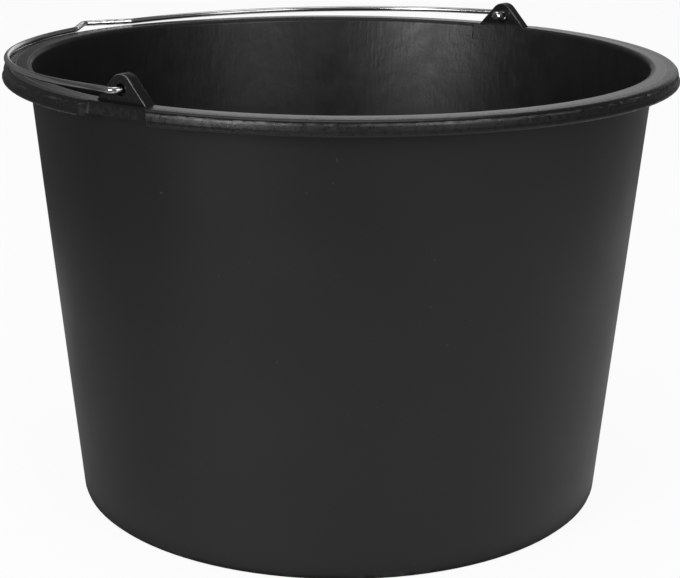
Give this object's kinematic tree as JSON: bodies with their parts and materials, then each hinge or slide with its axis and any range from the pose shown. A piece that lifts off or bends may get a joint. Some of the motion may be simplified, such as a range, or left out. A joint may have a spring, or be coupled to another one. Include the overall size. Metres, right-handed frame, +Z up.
{
  "type": "builder's bucket",
  "caption": "Tapered black moulded bucket with a turned-down rim, ears and a folding wire bail, for carrying mortar, rubble or water.",
  "frame": {"origin": "on the ground at the tub's axis", "axes": "+Z up along the tub's axis, +X through the ear that the bail is pushed towards, +Y towards the side on which the bail lies folded"},
  "size_m": [0.3947, 0.4124, 0.2762],
  "materials": {
    "black_polyethylene": "satin moulded polyethylene with fine scuffs",
    "zinc_wire": "bright zinc-plated drawn wire"
  },
  "bodies": {
    "bucket": {"bucket_body": "black_polyethylene"},
    "bail": {"wire_bail": "zinc_wire"}
  },
  "joints": [
    {"name": "bail_swing", "type": "hinge", "parent": "bucket", "child": "bail", "pos_m": [0, 0, 0.2681], "axis": [1, 0, 0], "range_deg": [0, 182.8]}
  ]
}
